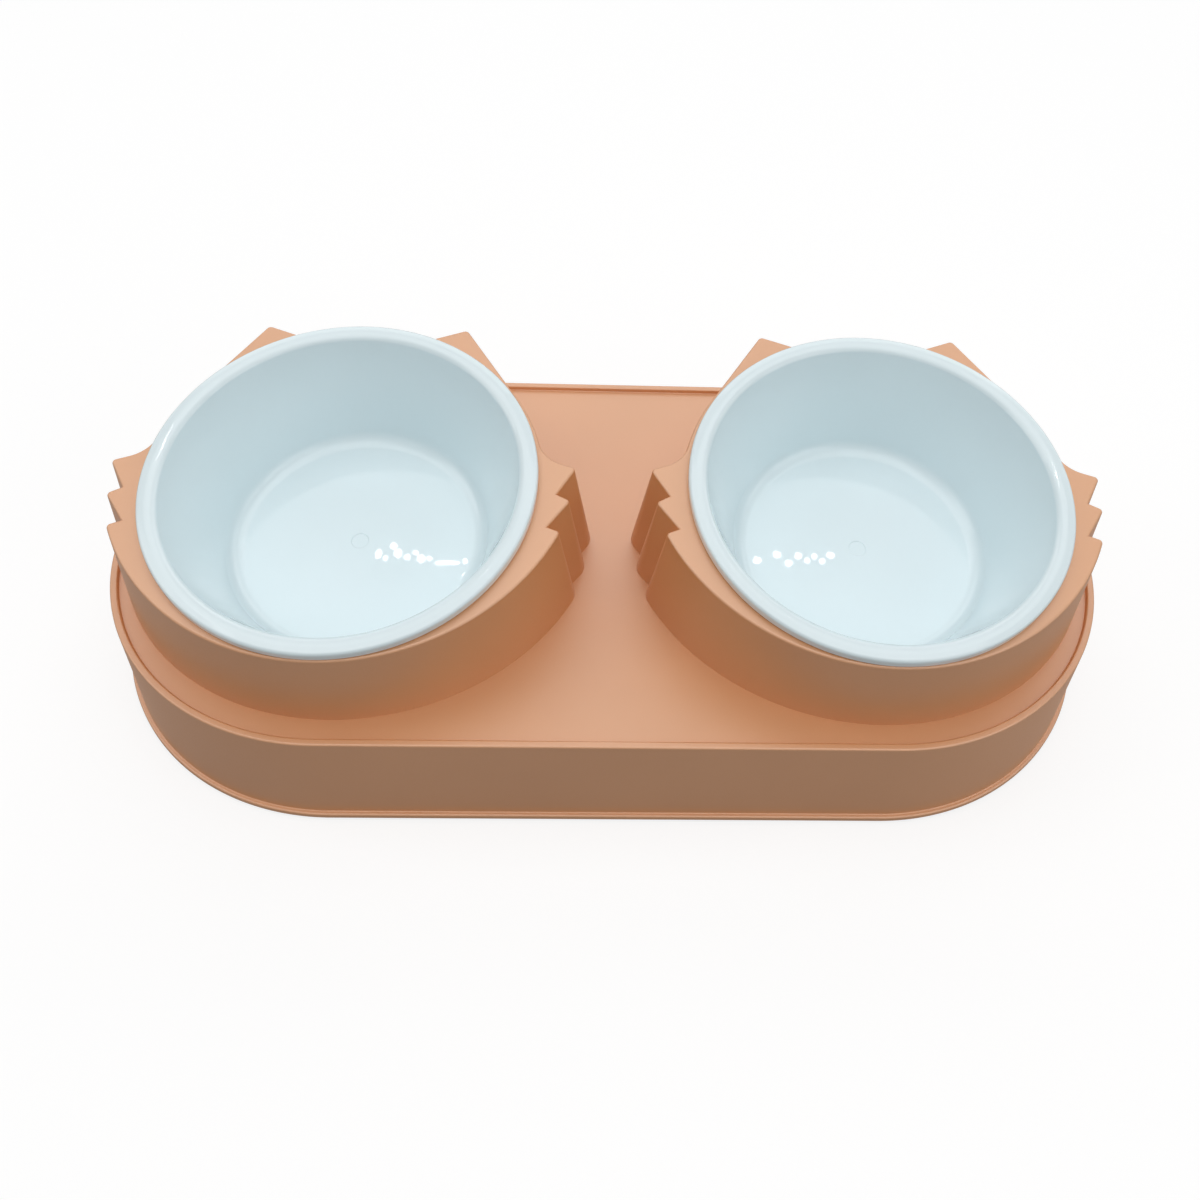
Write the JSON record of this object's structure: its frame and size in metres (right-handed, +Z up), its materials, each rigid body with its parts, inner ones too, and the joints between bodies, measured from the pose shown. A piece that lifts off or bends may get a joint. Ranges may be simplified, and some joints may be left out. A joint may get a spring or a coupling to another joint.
{
  "type": "double pet bowl",
  "caption": "Low oval stand with tilted cat-head holders that carry lift-out round bowls for pet food and water.",
  "frame": {"origin": "on the floor, under the centre of the tray", "axes": "+X along the tray to the right as the user faces the low front side, +Y to the back, +Z up"},
  "size_m": [0.3662, 0.1772, 0.1005],
  "materials": {
    "stand_plastic": "matte",
    "bowl_plastic": "gloss",
    "foot_rubber": "matte"
  },
  "bodies": {
    "stand": {"stand": "stand_plastic", "front_left_foot": "foot_rubber", "front_right_foot": "foot_rubber", "back_left_foot": "foot_rubber", "back_right_foot": "foot_rubber"},
    "left_bowl": {"left_bowl": "bowl_plastic"},
    "right_bowl": {"right_bowl": "bowl_plastic"}
  },
  "joints": [
    {"name": "left_bowl_lift", "type": "slide", "parent": "stand", "child": "left_bowl", "axis": [0, -0.1478, 0.989], "range_m": [0, 0.06]},
    {"name": "right_bowl_lift", "type": "slide", "parent": "stand", "child": "right_bowl", "axis": [0, -0.1478, 0.989], "range_m": [0, 0.06]}
  ]
}
